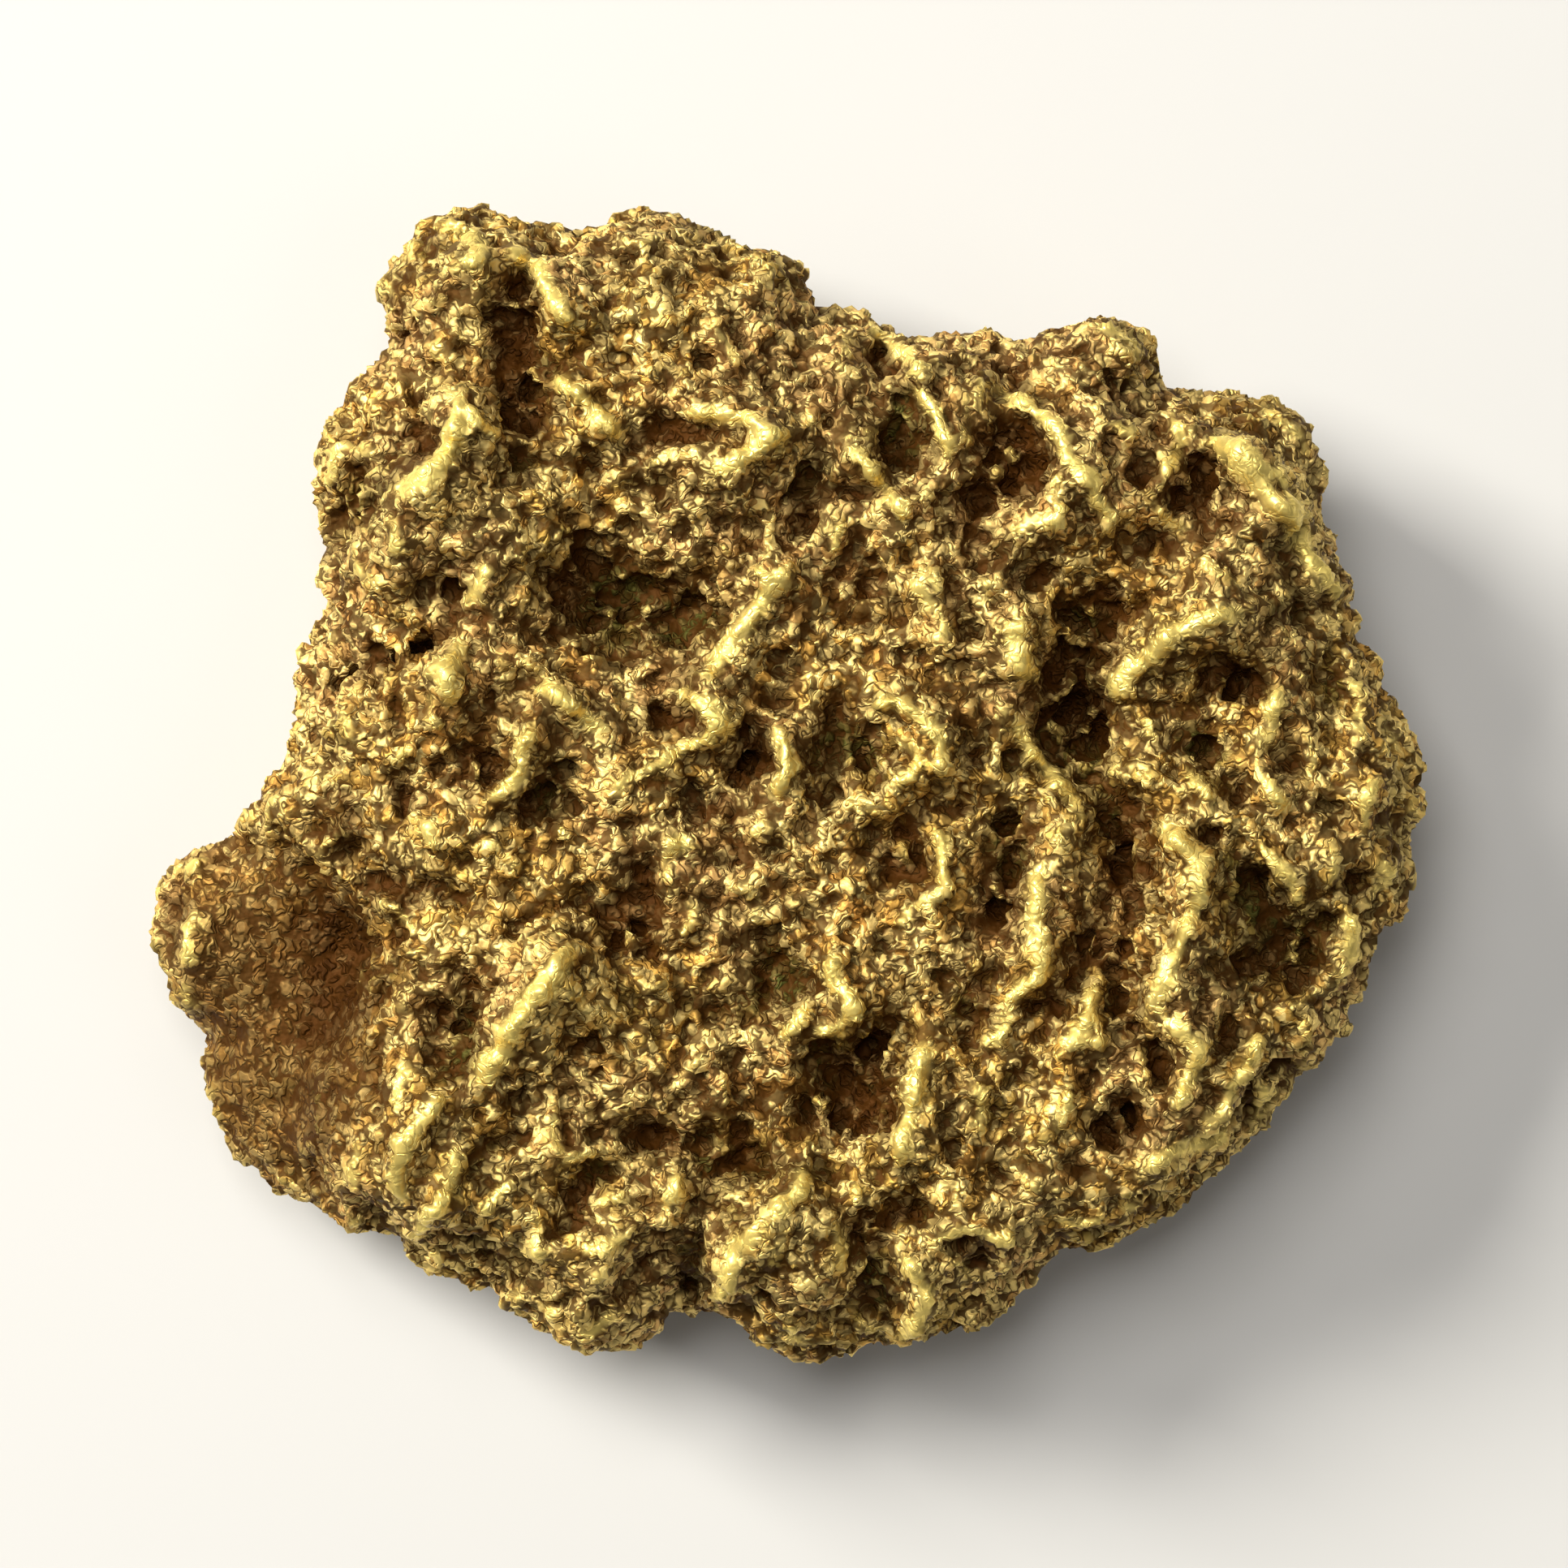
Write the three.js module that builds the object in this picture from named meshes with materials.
// A natural gold nugget, lying on its flatter side with its broad, pitted face up.
//
// Millimetres, +Z up. The origin is on the resting surface, under the middle of the
// nugget. The nugget is one closed body: a lumpy slab with a rounded side all the way
// round, whose broad face carries ridges, pits, a crack and a low ledge, and whose
// underside is flatter, with worn flat spots that it rests on.
//
// The broad face was read from a view straight down on it, 1932 pixels square. Places on
// it are kept in those pixels, right and down, and PIXEL turns them into millimetres.
// Every height, depth and width is in millimetres.

import * as THREE from 'three';
import { ImprovedNoise } from 'three/addons/math/ImprovedNoise.js';

// Driving dimensions

const WIDTH = 30.0;             // the longest way across, along X
const THICKNESS = 8.0;          // from the resting surface to the highest crest
const FACE_HEIGHT = 6.3;        // the broad face, before anything is raised or sunk
const EQUATOR_HEIGHT = 3.1;     // the widest line round the side
const UNDERSIDE_GAP = 0.75;     // the underside's usual height over the resting surface
const RIM_RADIUS = 2.3;         // how far in from the outline the rounded side reaches
const LEDGE_DROP = 1.9;         // how far the low ledge lies under the broad face
const RIDGE_RISE = 0.55;        // a usual crest over the face beside it
const RIDGE_REACH = 0.5;        // from a crest to the foot of its flank
const PIT_DEPTH = 0.6;          // a usual pit
const CRACK_DEPTH = 1.3;
const CRACK_REACH = 0.34;

// Sizes of the triangles

const FACE_SPACING = 0.53;
const UNDERSIDE_SPACING = 0.76;

// Where the view puts the outline, in pixels

const LEFT_MOST = 182;
const RIGHT_MOST = 1753;
const VIEW_CENTRE = [967.5, 966.5];
const HUB = [970, 960];         // the whole outline can be seen from this point
const PIXEL = WIDTH / (RIGHT_MOST - LEFT_MOST);

// The outline, clockwise from the upper left lobe
const OUTLINE = [
  [479, 352], [485, 322], [500, 300], [525, 272], [550, 264], [605, 258], [645, 272],
  [690, 287], [730, 278], [775, 264], [805, 265], [850, 282], [905, 293], [965, 304],
  [978, 318], [990, 365], [997, 380], [1035, 384], [1075, 398], [1110, 409], [1160, 414],
  [1245, 416], [1300, 413], [1345, 400], [1372, 401], [1400, 408], [1418, 425],
  [1422, 445], [1418, 472], [1445, 477], [1495, 488], [1530, 483], [1555, 485],
  [1580, 495], [1600, 515], [1630, 580], [1645, 660], [1650, 700], [1664, 717],
  [1669, 789], [1694, 802], [1703, 815], [1703, 843], [1720, 878], [1743, 915],
  [1753, 967], [1750, 996], [1743, 1059], [1730, 1111], [1701, 1162], [1694, 1194],
  [1667, 1260], [1645, 1303], [1599, 1326], [1579, 1346], [1563, 1393], [1530, 1418],
  [1475, 1461], [1438, 1504], [1389, 1524], [1372, 1543], [1346, 1546], [1303, 1541],
  [1275, 1571], [1251, 1602], [1224, 1629], [1158, 1656], [1115, 1660], [1072, 1675],
  [966, 1673], [930, 1652], [904, 1633], [850, 1622], [807, 1637], [787, 1665],
  [732, 1666], [672, 1655], [639, 1626], [602, 1585], [559, 1586], [510, 1550],
  [470, 1528], [435, 1528], [383, 1494], [335, 1481], [309, 1465], [280, 1419],
  [261, 1353], [246, 1293], [217, 1247], [186, 1178], [182, 1145], [193, 1100],
  [203, 1080], [240, 1056], [275, 1047], [295, 1012], [326, 977], [355, 945],
  [362, 915], [355, 870], [362, 830], [383, 800], [403, 780], [400, 740], [403, 690],
  [405, 650], [393, 605], [386, 575], [405, 540], [430, 495], [445, 475], [482, 450],
  [489, 420], [490, 392], [479, 376],
];

// The low ledge at the lower left, and the deep crack under the upper left lobe
const LEDGE = [
  [140, 1035], [275, 1020], [350, 1000], [430, 1045], [495, 1135], [500, 1190],
  [450, 1250], [435, 1305], [400, 1345], [395, 1450], [385, 1530], [140, 1530],
];
const CRACK = [[400, 842], [440, 835], [500, 812], [550, 780], [575, 765]];

// Broad swells and dips of the face: place, size across and down in pixels, rise in mm
const SWELLS = [
  { at: [600, 640], size: [150, 130], rise: 0.75 },
  { at: [590, 340], size: [110, 90], rise: 0.35 },
  { at: [840, 370], size: [150, 90], rise: 0.3 },
  { at: [900, 610], size: [110, 90], rise: 0.45 },
  { at: [1250, 660], size: [150, 190], rise: 0.45 },
  { at: [1540, 640], size: [90, 190], rise: 0.55 },
  { at: [1020, 1080], size: [230, 170], rise: 0.45 },
  { at: [690, 1230], size: [110, 110], rise: 0.65 },
  { at: [1450, 1120], size: [110, 190], rise: 0.55 },
  { at: [1240, 1400], size: [200, 120], rise: 0.3 },
  { at: [560, 1430], size: [140, 100], rise: 0.35 },
  { at: [985, 1540], size: [80, 80], rise: 0.5 },
  { at: [1440, 1440], size: [130, 70], rise: 0.3 },
  { at: [580, 900], size: [130, 100], rise: 0.3 },
  { at: [735, 740], size: [100, 90], rise: -0.7 },
  { at: [975, 500], size: [60, 130], rise: -0.3 },
  { at: [1325, 870], size: [90, 150], rise: -0.6 },
  { at: [640, 470], size: [110, 60], rise: -0.45 },
  { at: [1060, 1330], size: [90, 90], rise: -0.35 },
  { at: [1610, 1000], size: [70, 220], rise: -0.25 },
  { at: [850, 1570], size: [40, 90], rise: -0.6 },
];

// Ridges, region by region: the crest's points in pixels, and its rise where it is unusual
const RIDGES = [
  // upper left
  { crest: [[550, 272], [590, 302], [603, 315], [580, 337]] },
  { crest: [[640, 315], [672, 350], [700, 395], [712, 410]], rise: 0.7 },
  { crest: [[690, 470], [715, 490], [740, 515], [768, 548]] },
  { crest: [[410, 552], [415, 590], [405, 600]] },
  { crest: [[575, 520], [572, 545], [550, 585], [500, 615]], rise: 0.8 },
  { crest: [[585, 515], [605, 530], [625, 545]] },
  { crest: [[500, 640], [500, 690]] },
  // upper middle
  { crest: [[855, 515], [925, 525], [962, 546]], rise: 0.7 },
  { crest: [[962, 548], [940, 560], [890, 590]], rise: 0.7 },
  { crest: [[800, 580], [830, 567], [865, 572]], rise: 0.35 },
  { crest: [[1030, 650], [1030, 690]] },
  // upper right
  { crest: [[1075, 405], [1115, 440], [1130, 465]] },
  { crest: [[1125, 490], [1155, 525], [1165, 570]], rise: 0.7 },
  { crest: [[1050, 560], [1095, 615], [1113, 650]] },
  { crest: [[1245, 500], [1295, 535], [1345, 605], [1375, 645]], rise: 0.7 },
  { crest: [[1300, 590], [1300, 640]], rise: 0.35 },
  { crest: [[1245, 665], [1270, 650], [1300, 650]], rise: 0.4 },
  { crest: [[1120, 720], [1150, 760], [1170, 795]] },
  { crest: [[1250, 770], [1245, 800], [1268, 842]], rise: 0.7 },
  { crest: [[1355, 405], [1390, 415], [1405, 445]], rise: 0.4 },
  { crest: [[1440, 520], [1450, 540], [1425, 590]] },
  { crest: [[1560, 500], [1590, 525], [1615, 565]], rise: 0.4 },
  { crest: [[1495, 553], [1540, 600], [1600, 675], [1640, 725], [1648, 745]], rise: 0.85 },
  { crest: [[1515, 760], [1460, 775], [1410, 815], [1370, 850]], rise: 0.75 },
  // left middle
  { crest: [[600, 700], [605, 715], [580, 750]] },
  { crest: [[570, 790], [575, 805], [555, 830], [570, 870]] },
  { crest: [[670, 850], [700, 870], [755, 905]], rise: 0.6 },
  { crest: [[660, 905], [650, 950], [615, 990]], rise: 0.65 },
  { crest: [[540, 850], [540, 880], [550, 900]], rise: 0.35 },
  { crest: [[540, 1010], [550, 1045]], rise: 0.4 },
  // centre
  { crest: [[970, 710], [930, 760], [895, 815], [880, 835]], rise: 0.85 },
  { crest: [[840, 855], [870, 875], [905, 915]] },
  { crest: [[890, 900], [860, 915], [810, 950], [760, 980]] },
  { crest: [[960, 905], [975, 945], [950, 980]], rise: 0.65 },
  { crest: [[1080, 880], [1110, 868], [1150, 900], [1160, 940]], rise: 0.6 },
  { crest: [[1105, 910], [1133, 940], [1095, 965]] },
  { crest: [[1240, 890], [1290, 950], [1325, 1000]] },
  { crest: [[940, 1005], [945, 1020], [925, 1035]], rise: 0.4 },
  { crest: [[1280, 1065], [1270, 1100], [1278, 1170], [1285, 1195]], rise: 0.7 },
  { crest: [[1155, 1020], [1165, 1090], [1105, 1135]], rise: 0.65 },
  // right
  { crest: [[1565, 850], [1558, 905], [1545, 925]] },
  { crest: [[1455, 950], [1490, 990], [1480, 1015]], rise: 0.35 },
  { crest: [[1540, 950], [1560, 975], [1580, 1005]] },
  { crest: [[1545, 1040], [1585, 1090], [1595, 1115]] },
  { crest: [[1663, 840], [1672, 870], [1670, 905]] },
  { crest: [[1690, 960], [1670, 1000], [1675, 1035]], rise: 0.4 },
  { crest: [[1690, 1060], [1708, 1080], [1695, 1105]] },
  { crest: [[1655, 1130], [1660, 1190]], rise: 0.65 },
  { crest: [[1430, 1020], [1475, 1090], [1440, 1175], [1420, 1235]], rise: 0.85 },
  // lower right
  { crest: [[1340, 1220], [1335, 1250], [1310, 1285]] },
  { crest: [[1310, 1285], [1360, 1280]], rise: 0.35 },
  { crest: [[1430, 1250], [1470, 1290], [1445, 1365]], rise: 0.65 },
  { crest: [[1535, 1275], [1540, 1300], [1490, 1380]], rise: 0.6 },
  { crest: [[1585, 1240], [1640, 1215]], rise: 0.35 },
  { crest: [[1315, 1330], [1295, 1400]], rise: 0.4 },
  { crest: [[1285, 1200], [1240, 1235], [1235, 1265], [1215, 1285]] },
  { crest: [[1410, 1440], [1460, 1415], [1515, 1400]] },
  { crest: [[1300, 1500], [1325, 1508], [1360, 1500]], rise: 0.4 },
  // lower middle
  { crest: [[1025, 1180], [1030, 1215], [1055, 1240], [1005, 1268]], rise: 0.6 },
  { crest: [[1000, 1240], [965, 1280]], rise: 0.4 },
  { crest: [[1140, 1285], [1130, 1345], [1110, 1430]], rise: 0.85 },
  { crest: [[995, 1440], [985, 1465], [955, 1485]], rise: 0.7 },
  { crest: [[935, 1505], [903, 1560], [885, 1605]], rise: 0.7 },
  { crest: [[1110, 1545], [1140, 1595], [1115, 1645]], rise: 0.65 },
  { crest: [[1155, 1525], [1185, 1513], [1235, 1530]] },
  { crest: [[1060, 1455], [1050, 1475]], rise: 0.4 },
  // lower left
  { crest: [[710, 1170], [665, 1230], [630, 1285], [600, 1330]], rise: 0.95 },
  { crest: [[845, 1030], [820, 1090]], rise: 0.4 },
  { crest: [[855, 1110], [840, 1155]], rise: 0.4 },
  { crest: [[510, 1310], [500, 1365]] },
  { crest: [[555, 1355], [505, 1410], [508, 1480]], rise: 0.7 },
  { crest: [[545, 1480], [515, 1535]] },
  { crest: [[570, 1410], [575, 1440], [550, 1490]] },
  { crest: [[640, 1450], [605, 1495]] },
  { crest: [[690, 1375], [685, 1400], [695, 1420]] },
  { crest: [[840, 1440], [835, 1470], [820, 1490]] },
  { crest: [[720, 1540], [750, 1535], [775, 1520]] },
  { crest: [[830, 1340], [870, 1310]], rise: 0.35 },
  { crest: [[760, 1620], [740, 1640], [720, 1655]], rise: 0.4 },
  { crest: [[230, 1140], [232, 1165], [222, 1195]], rise: 0.4 },
];

// Pits: place, half size across and down in pixels, and depth in mm where it is unusual
const PITS = [
  // upper left
  { at: [545, 305], size: [35, 18] },
  { at: [640, 380], size: [30, 60], depth: 0.80 },
  { at: [655, 505], size: [45, 35] },
  { at: [530, 560], size: [33, 28] },
  { at: [640, 585], size: [20, 20] },
  { at: [430, 640], size: [22, 40], depth: 0.45 },
  { at: [725, 640], size: [22, 28], depth: 0.45 },
  // upper middle
  { at: [845, 350], size: [20, 17] },
  { at: [870, 542], size: [48, 20], depth: 0.70 },
  { at: [985, 620], size: [22, 45], depth: 0.45 },
  { at: [790, 560], size: [25, 18], depth: 0.45 },
  // upper right
  { at: [1085, 450], size: [24, 33] },
  { at: [1122, 535], size: [34, 46], depth: 0.95 },
  { at: [1250, 565], size: [42, 58], depth: 0.80 },
  { at: [1060, 615], size: [22, 20] },
  { at: [1475, 590], size: [36, 44] },
  { at: [1580, 670], size: [20, 36] },
  { at: [1612, 738], size: [22, 30] },
  { at: [1435, 675], size: [30, 22] },
  { at: [1360, 745], size: [30, 40] },
  { at: [1062, 732], size: [46, 34], depth: 0.40 },
  // left middle
  { at: [565, 720], size: [26, 20] },
  { at: [740, 742], size: [58, 50], depth: 0.85 },
  { at: [600, 945], size: [30, 32], depth: 0.70 },
  { at: [500, 985], size: [16, 26], depth: 0.70 },
  { at: [682, 975], size: [22, 32] },
  { at: [420, 1000], size: [26, 26], depth: 0.45 },
  { at: [495, 1092], size: [28, 18], depth: 0.80 },
  // centre
  { at: [850, 772], size: [48, 48], depth: 0.80 },
  { at: [830, 880], size: [34, 25] },
  { at: [922, 937], size: [34, 32], depth: 0.85 },
  { at: [885, 1000], size: [30, 20] },
  { at: [1030, 890], size: [28, 28] },
  { at: [1072, 932], size: [32, 26] },
  { at: [1320, 925], size: [52, 56], depth: 1.15 },
  { at: [1330, 830], size: [46, 60], depth: 0.80 },
  { at: [1392, 1005], size: [28, 18] },
  { at: [1240, 1035], size: [24, 30] },
  { at: [1238, 1115], size: [30, 48], depth: 0.70 },
  { at: [1118, 1062], size: [28, 52], depth: 0.80 },
  // right
  { at: [1520, 845], size: [32, 22], depth: 0.95 },
  { at: [1480, 930], size: [28, 34], depth: 0.85 },
  { at: [1635, 855], size: [20, 50] },
  { at: [1670, 1085], size: [24, 20] },
  { at: [1608, 1150], size: [38, 40], depth: 0.70 },
  { at: [1528, 1105], size: [30, 46], depth: 0.70 },
  { at: [1385, 1060], size: [38, 56], depth: 0.80 },
  { at: [1358, 1180], size: [42, 26] },
  // lower right
  { at: [1288, 1243], size: [30, 34] },
  { at: [1380, 1240], size: [22, 22] },
  { at: [1572, 1200], size: [38, 36], depth: 0.45 },
  { at: [1505, 1285], size: [18, 22] },
  { at: [1382, 1386], size: [20, 30], depth: 1.00 },
  { at: [1200, 1243], size: [22, 30] },
  { at: [1540, 1370], size: [22, 18] },
  // lower middle
  { at: [960, 1212], size: [44, 48], depth: 0.80 },
  { at: [1068, 1290], size: [44, 38], depth: 0.70 },
  { at: [1005, 1365], size: [30, 25], depth: 0.85 },
  { at: [1080, 1370], size: [34, 40] },
  { at: [922, 1432], size: [46, 44], depth: 0.60 },
  { at: [1065, 1515], size: [22, 20], depth: 0.80 },
  { at: [1130, 1500], size: [22, 18] },
  { at: [1080, 1582], size: [30, 42], depth: 0.70 },
  { at: [1195, 1540], size: [24, 18] },
  // lower left
  { at: [790, 1150], size: [46, 38], depth: 0.70 },
  { at: [795, 1080], size: [18, 30] },
  { at: [575, 1290], size: [30, 38], depth: 0.70 },
  { at: [870, 1240], size: [34, 22], depth: 0.45 },
  { at: [805, 1402], size: [30, 20] },
  { at: [722, 1480], size: [26, 25] },
  { at: [705, 1398], size: [16, 24], depth: 0.45 },
  { at: [582, 1520], size: [30, 22], depth: 0.45 },
  { at: [205, 1150], size: [16, 30], depth: 0.30 },
  { at: [620, 1410], size: [22, 40], depth: 0.45 },
];

// Knobs and blunt lumps: place, half size across and down in pixels, rise in mm
const KNOBS = [
  { at: [560, 625], size: [58, 52], rise: 0.4 },
  { at: [735, 540], size: [22, 18], rise: 0.3 },
  { at: [945, 325], size: [30, 22], rise: 0.3 },
  { at: [870, 620], size: [56, 46], rise: 0.3 },
  { at: [1375, 425], size: [34, 24], rise: 0.4 },
  { at: [1530, 755], size: [24, 20], rise: 0.4 },
  { at: [1375, 950], size: [27, 25], rise: 0.5 },
  { at: [1410, 960], size: [22, 20], rise: 0.3 },
  { at: [1305, 1030], size: [30, 34], rise: 0.6 },
  { at: [570, 1025], size: [40, 30], rise: 0.4 },
  { at: [1040, 1290], size: [18, 18], rise: 0.4 },
  { at: [1050, 1238], size: [20, 16], rise: 0.3 },
  { at: [620, 1352], size: [28, 25], rise: 0.4 },
  { at: [732, 1230], size: [30, 28], rise: 0.45 },
  { at: [815, 1212], size: [20, 18], rise: 0.3 },
  { at: [1010, 1560], size: [34, 38], rise: 0.4 },
  { at: [500, 1240], size: [46, 38], rise: 0.3 },
  { at: [600, 1087], size: [25, 20], rise: 0.3 },
  { at: [385, 865], size: [26, 44], rise: -0.9 },
  { at: [1185, 1385], size: [34, 26], rise: 0.3 },
  { at: [1660, 1165], size: [20, 34], rise: 0.3 },
];

// The underside, which the view doesn't show: worn spots that the nugget rests on, then
// dents between them. Places and sizes are in millimetres from the origin.
const RESTING_SPOTS = [
  { at: [0.4, -0.3], size: [2.3, 2.0] },
  { at: [-8.2, 5.0], size: [2.2, 1.8] },
  { at: [7.8, 6.4], size: [2.4, 1.8] },
  { at: [9.0, -4.8], size: [2.2, 2.4] },
  { at: [-2.6, -9.2], size: [2.6, 1.7] },
  { at: [-7.6, -3.4], size: [1.7, 1.8] },
];
const RESTING_SPOT_SINK = 2.1;  // how far a spot would reach down if it weren't worn flat
const DENTS = [
  { at: [-4.2, 3.2], size: [1.9, 1.4], depth: 0.8 },
  { at: [3.6, 4.2], size: [1.5, 2.1], depth: 0.9 },
  { at: [5.2, -1.2], size: [1.4, 1.2], depth: 0.7 },
  { at: [2.8, -6.4], size: [2.0, 1.3], depth: 0.9 },
  { at: [-4.6, -5.8], size: [1.3, 1.6], depth: 0.7 },
  { at: [-11.2, -4.6], size: [1.4, 2.0], depth: 0.6 },
  { at: [11.4, 1.2], size: [1.2, 1.9], depth: 0.8 },
  { at: [-0.8, 9.2], size: [2.1, 1.1], depth: 0.7 },
  { at: [-3.6, -1.6], size: [1.1, 1.0], depth: 0.6 },
];

// Small uneven swells everywhere, as noise: size in mm, and how much it raises or sinks
const FACE_GRAIN = { size: 1.15, rise: 0.16 };
const SIDE_SWELL = { size: 2.3, rise: 0.8 };
const SIDE_DENTS = { size: 1.3, depth: 0.65 };
const UNDERSIDE_SWELL = { size: 2.2, rise: 0.5 };
const UNDERSIDE_GRAIN = { size: 0.9, rise: 0.14 };

const GOLD = new THREE.MeshStandardMaterial({
  name: 'gold', color: 0xc79a3c, roughness: 0.38, metalness: 0.9,
});

const noise = new ImprovedNoise();

function swell({ size, rise }, x, y, layer) {
  return rise * noise.noise(x / size, y / size, layer);
}

function toMillimetres([right, down]) {
  return new THREE.Vector2((right - VIEW_CENTRE[0]) * PIXEL, (VIEW_CENTRE[1] - down) * PIXEL);
}

function smoothStep(value) {
  return THREE.MathUtils.smoothstep(value, 0, 1);
}

// A round hump that is 1 at its middle and nearly flat again at one and a half sizes
function hump(x, y, at, size) {
  const across = (x - at.x) / size.x;
  const along = (y - at.y) / size.y;
  return Math.exp(-1.3 * (across * across + along * along));
}

function distanceToSegment(x, y, start, end) {
  const dx = end.x - start.x;
  const dy = end.y - start.y;
  const along = ((x - start.x) * dx + (y - start.y) * dy) / (dx * dx + dy * dy);
  const held = THREE.MathUtils.clamp(along, 0, 1);
  return Math.hypot(x - start.x - held * dx, y - start.y - held * dy);
}

function distanceToPath(x, y, points) {
  let nearest = Infinity;
  for (let i = 1; i < points.length; i += 1) {
    nearest = Math.min(nearest, distanceToSegment(x, y, points[i - 1], points[i]));
  }
  return nearest;
}

function isInside(x, y, points) {
  let inside = false;
  for (let i = 0, j = points.length - 1; i < points.length; j = i, i += 1) {
    const a = points[i];
    const b = points[j];
    if ((a.y > y) !== (b.y > y) && x < ((b.x - a.x) * (y - a.y)) / (b.y - a.y) + a.x) {
      inside = !inside;
    }
  }
  return inside;
}

// The lists above, turned into millimetres

function placed(list) {
  return list.map((item) => ({
    ...item,
    at: toMillimetres(item.at),
    size: new THREE.Vector2(item.size[0] * PIXEL, item.size[1] * PIXEL),
  }));
}

const swells = placed(SWELLS);
const pits = placed(PITS);
const knobs = placed(KNOBS);
const ridges = RIDGES.map(({ crest, rise = RIDGE_RISE }) => ({
  rise,
  crest: crest.map(toMillimetres),
}));
const crack = CRACK.map(toMillimetres);
const ledge = LEDGE.map(toMillimetres);
const ledgeLoop = [...ledge, ledge[0]];

function onUnderside(list) {
  return list.map(({ at, size, depth }) => ({
    at: new THREE.Vector2(...at),
    size: new THREE.Vector2(...size),
    depth,
  }));
}

const restingSpots = onUnderside(RESTING_SPOTS);
const dents = onUnderside(DENTS);

// How far below the broad face the ledge lies here: 0 off it, LEDGE_DROP well inside it
function ledgeDrop(x, y) {
  if (!isInside(x, y, ledge)) {
    return 0;
  }
  return LEDGE_DROP * smoothStep(distanceToPath(x, y, ledgeLoop) / 0.9);
}

function flank(distance, reach) {
  const share = distance / reach;
  return Math.exp(-share * share);
}

// Everything that is raised from or sunk in the broad face
function faceRelief(x, y) {
  let height = swell(FACE_GRAIN, x, y, 0.5);
  for (const { at, size, rise } of [...swells, ...knobs]) {
    height += rise * hump(x, y, at, size);
  }
  for (const { at, size, depth = PIT_DEPTH } of pits) {
    height -= depth * hump(x, y, at, size);
  }
  for (const { crest, rise } of ridges) {
    height += rise * flank(distanceToPath(x, y, crest), RIDGE_REACH);
  }
  height -= CRACK_DEPTH * flank(distanceToPath(x, y, crack), CRACK_REACH);
  return height;
}

// A quarter circle's height: 0 at the outline, 1 from the rim's radius inwards
function roundedRise(inset, radius) {
  const left = 1 - Math.min(inset / radius, 1);
  return Math.sqrt(1 - left * left);
}

function rimRadius(x, y, layer) {
  return RIM_RADIUS + swell(SIDE_SWELL, x, y, layer);
}

function equatorHeight(x, y) {
  return EQUATOR_HEIGHT + swell(SIDE_SWELL, x, y, 7.3) - 0.3 * ledgeDrop(x, y);
}

function faceHeight(x, y, inset) {
  const equator = equatorHeight(x, y);
  const shoulder = FACE_HEIGHT - ledgeDrop(x, y);
  const fade = smoothStep(inset / (0.3 * RIM_RADIUS));
  const level = equator + (shoulder - equator) * roundedRise(inset, rimRadius(x, y, 3.7));
  return level + fade * faceRelief(x, y);
}

function undersideHeight(x, y, inset) {
  const equator = equatorHeight(x, y);
  const deepest = UNDERSIDE_GAP
    + swell(UNDERSIDE_SWELL, x, y, 11.9)
    + swell(UNDERSIDE_GRAIN, x, y, 15.1);
  let height = equator - (equator - deepest) * roundedRise(inset, rimRadius(x, y, 9.1));
  for (const { at, size, depth } of dents) {
    height += depth * hump(x, y, at, size);
  }
  for (const { at, size } of restingSpots) {
    height -= RESTING_SPOT_SINK * hump(x, y, at, size);
  }
  return Math.max(height, 0);
}

// The outline as a closed curve, counter-clockwise, with evenly spaced points to look up

const OUTLINE_STEPS = 2400;
const hub = toMillimetres(HUB);
const outlineCurve = new THREE.CatmullRomCurve3(
  OUTLINE.map(toMillimetres).reverse().map(({ x, y }) => new THREE.Vector3(x, y, 0)),
  true,
  'centripetal',
);
const outlinePoints = outlineCurve.getSpacedPoints(OUTLINE_STEPS);
const outlineLength = outlineCurve.getLength();
const meanRadius = outlinePoints.reduce((sum, p) => sum + Math.hypot(p.x - hub.x, p.y - hub.y), 0)
  / outlinePoints.length;

// The same curve with its lobes and notches evened out, which the inner rings follow
const EVENING_STEPS = 110;
const evenedPoints = outlinePoints.map((_, i) => {
  const mean = new THREE.Vector3();
  for (let step = -EVENING_STEPS; step <= EVENING_STEPS; step += 1) {
    mean.add(outlinePoints[(i + step + OUTLINE_STEPS) % OUTLINE_STEPS]);
  }
  return mean.divideScalar(2 * EVENING_STEPS + 1);
});

function insetOf(x, y) {
  let nearest = Infinity;
  for (const point of outlinePoints) {
    nearest = Math.min(nearest, Math.hypot(x - point.x, y - point.y));
  }
  return nearest;
}

// How far in from the outline each ring of points lies: close together where the side
// turns over, then evenly spaced across the face, down to the hub
function ringInsets(spacing) {
  const turn = (0.9 * spacing) / RIM_RADIUS;
  const insets = [];
  for (let angle = turn; angle < Math.PI / 2; angle += turn) {
    insets.push(RIM_RADIUS * (1 - Math.cos(angle)));
  }
  const row = 0.9 * spacing;
  for (let inset = insets.at(-1) + row; inset < meanRadius - 0.5 * row; inset += row) {
    insets.push(inset);
  }
  return insets;
}

const positions = [];
const triangles = [];

function addPoint(x, y, z) {
  positions.push(x, y, z);
  return positions.length / 3 - 1;
}

// How far a point of the rounded side is pushed in by the hollows there: 0 at the
// equator, so that the outline keeps its shape, and 0 on the broad face
function sideDent(x, y, z, inset) {
  const { size, depth } = SIDE_DENTS;
  const onSide = smoothStep(inset / 0.3) * smoothStep((RIM_RADIUS - inset) / RIM_RADIUS);
  return depth * onSide * (0.5 + noise.noise(x / size, y / size, z / size));
}

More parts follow.
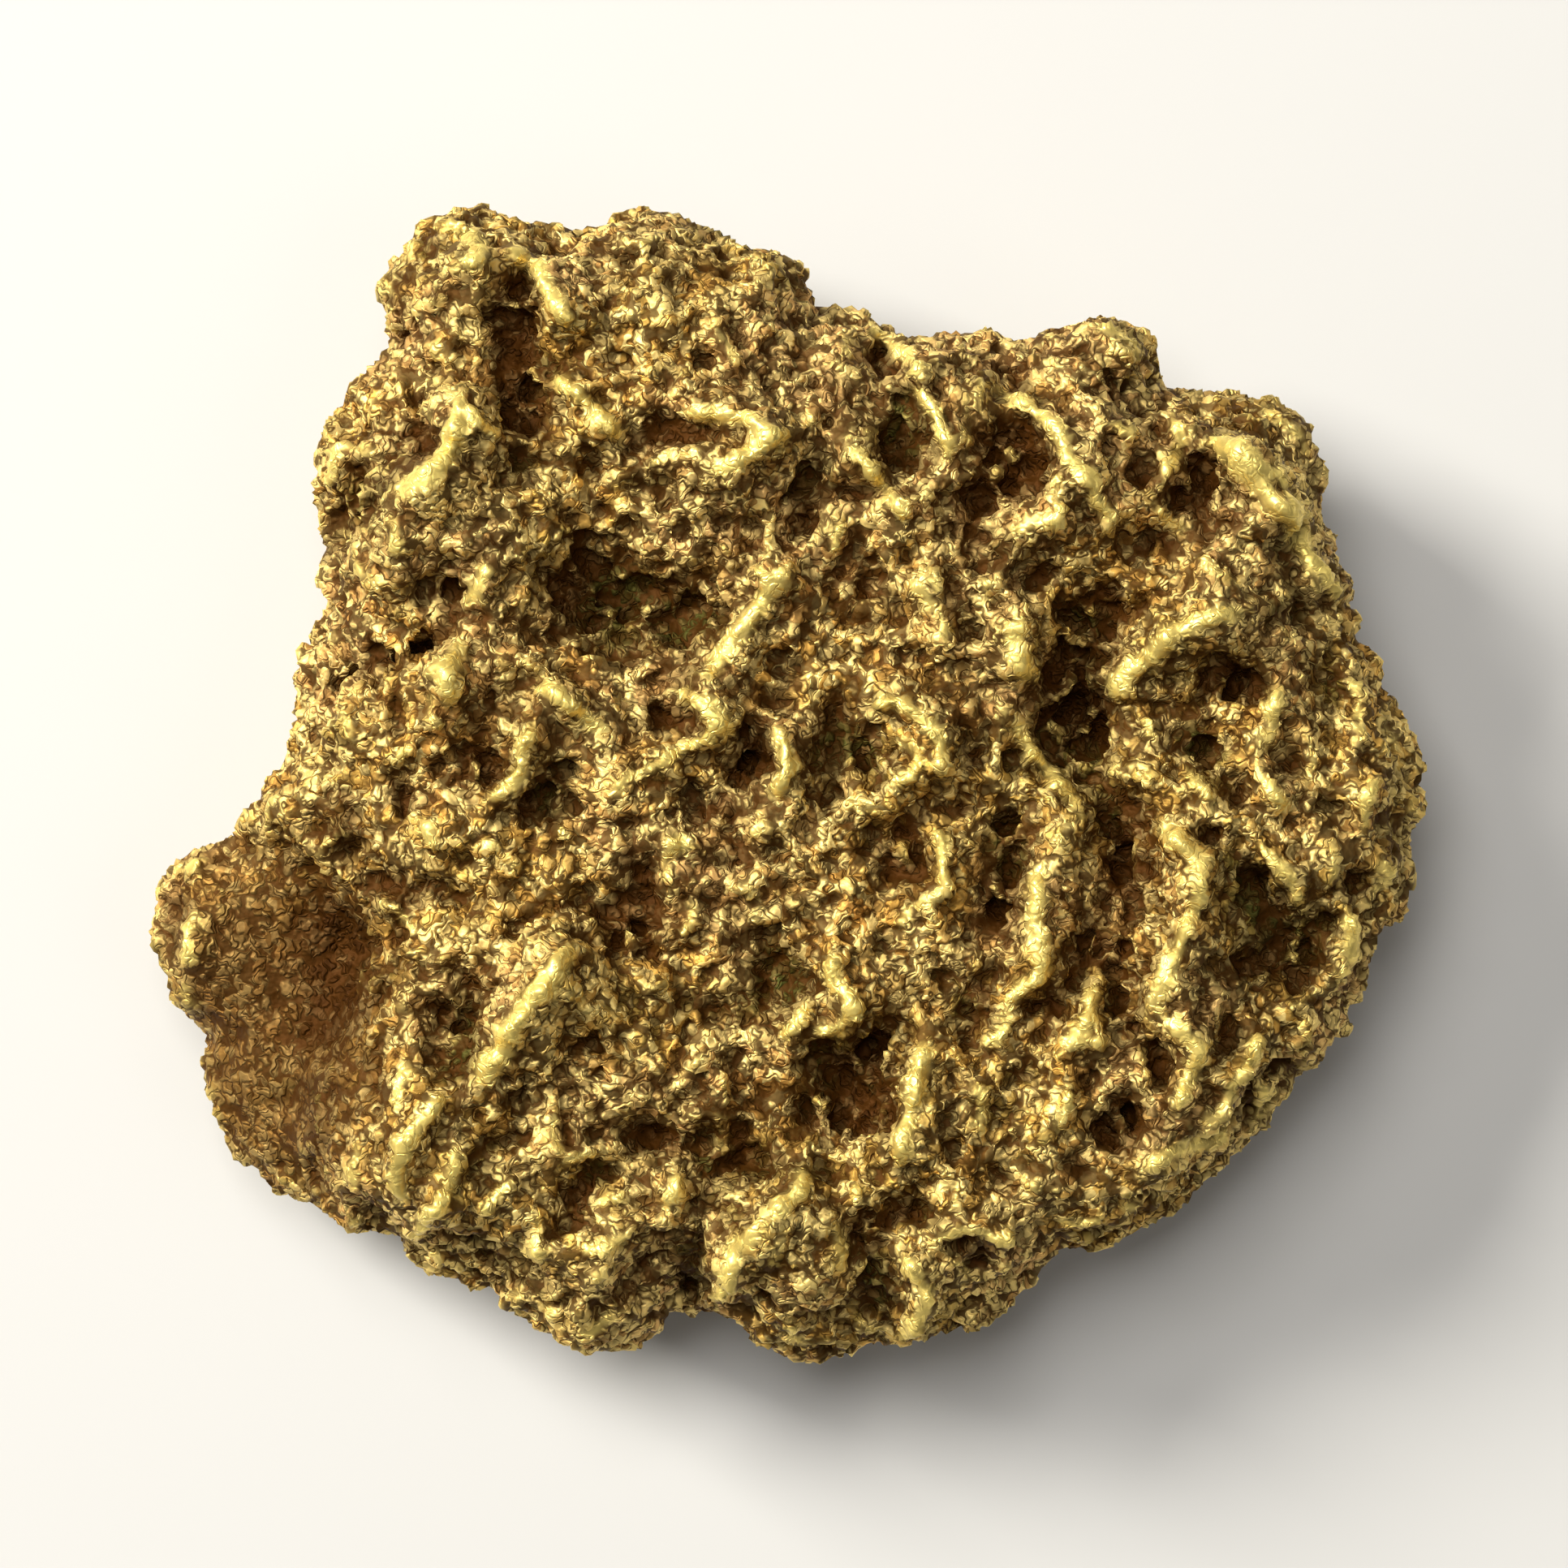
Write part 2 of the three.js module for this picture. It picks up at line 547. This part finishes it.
// A ring of points that copies the outline, drawn in towards the hub
function addRing(share, spacing, heightAt) {
  const count = Math.max(6, Math.round((outlineLength * share) / spacing));
  const likeness = smoothStep((share - 0.6) / 0.35);
  const ring = [];
  for (let i = 0; i < count; i += 1) {
    const step = Math.round((i * OUTLINE_STEPS) / count) % OUTLINE_STEPS;
    const edge = evenedPoints[step].clone().lerp(outlinePoints[step], likeness);
    const x = hub.x + (edge.x - hub.x) * share;
    const y = hub.y + (edge.y - hub.y) * share;
    const inset = insetOf(x, y);
    const z = heightAt(x, y, inset);
    const pull = 1 - sideDent(x, y, z, inset) / Math.hypot(x - hub.x, y - hub.y);
    ring.push(addPoint(hub.x + (x - hub.x) * pull, hub.y + (y - hub.y) * pull, z));
  }
  return ring;
}

function addTriangle(a, b, c, facesUp) {
  triangles.push(...(facesUp ? [a, b, c] : [a, c, b]));
}

// Triangles between two rings, stepping along whichever ring is behind
function joinRings(outer, inner, facesUp) {
  let i = 0;
  let j = 0;
  while (i < outer.length || j < inner.length) {
    const a = outer[i % outer.length];
    const b = inner[j % inner.length];
    if ((i + 1) / outer.length <= (j + 1) / inner.length) {
      addTriangle(a, outer[(i + 1) % outer.length], b, facesUp);
      i += 1;
    } else {
      addTriangle(a, inner[(j + 1) % inner.length], b, facesUp);
      j += 1;
    }
  }
}

function addSide(equator, spacing, heightAt, facesUp) {
  let outer = equator;
  for (const inset of ringInsets(spacing)) {
    const inner = addRing(1 - inset / meanRadius, spacing, heightAt);
    joinRings(outer, inner, facesUp);
    outer = inner;
  }
  const middle = addPoint(hub.x, hub.y, heightAt(hub.x, hub.y, insetOf(hub.x, hub.y)));
  outer.forEach((point, i) => {
    addTriangle(point, outer[(i + 1) % outer.length], middle, facesUp);
  });
}

const equator = addRing(1, FACE_SPACING, equatorHeight);
addSide(equator, FACE_SPACING, faceHeight, true);
addSide(equator, UNDERSIDE_SPACING, undersideHeight, false);

const geometry = new THREE.BufferGeometry();
geometry.setAttribute('position', new THREE.Float32BufferAttribute(positions, 3));
geometry.setIndex(triangles);

// Bring the finished body to its exact width and thickness, with its middle over the origin
geometry.computeBoundingBox();
const { min, max } = geometry.boundingBox;
geometry.translate(-(min.x + max.x) / 2, -(min.y + max.y) / 2, 0);
const sideways = WIDTH / (max.x - min.x);
geometry.scale(sideways, sideways, THICKNESS / max.z);
geometry.computeVertexNormals();

const body = new THREE.Mesh(geometry, GOLD);
body.name = 'nugget';

const nugget = new THREE.Group();
nugget.add(body);

export default nugget;
